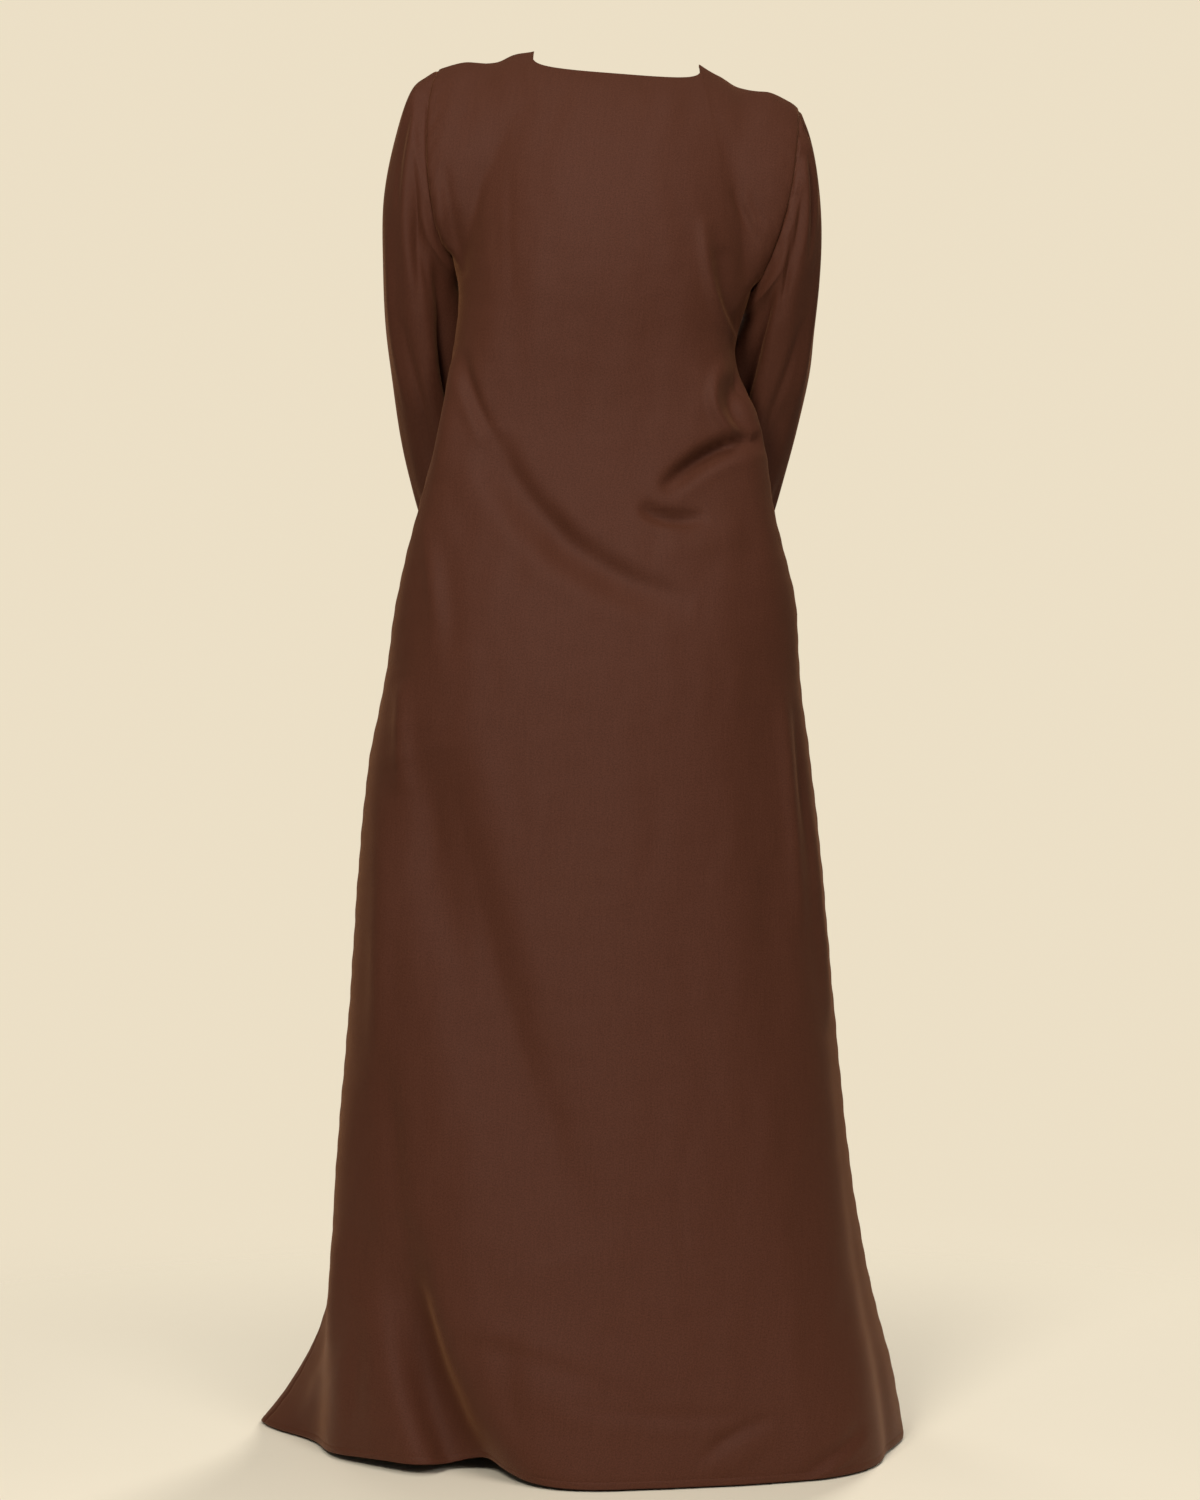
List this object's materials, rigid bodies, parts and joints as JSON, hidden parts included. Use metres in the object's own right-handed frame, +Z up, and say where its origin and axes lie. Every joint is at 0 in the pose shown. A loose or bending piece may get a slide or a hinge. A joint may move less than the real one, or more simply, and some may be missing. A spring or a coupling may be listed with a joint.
{
  "type": "abaya",
  "caption": "Plain floor-length A-line abaya in its worn shape, with a square back neckline, long set-in sleeves bent forward and a hem that flares at the left.",
  "frame": {"origin": "midway between the two neck points, where the shoulder seams meet the neckline and the wearer's shoulders carry the garment", "axes": "+Z up, front of the garment towards -Y, the wearer's left towards +X"},
  "size_m": [0.6744, 0.4695, 1.4539],
  "materials": {
    "crepe": "dark chocolate-brown crepe with a fine weave and a soft sheen"
  },
  "bodies": {
    "root": {"back": "crepe", "front": "crepe", "sleeve_left": "crepe", "sleeve_right": "crepe"}
  },
  "joints": []
}
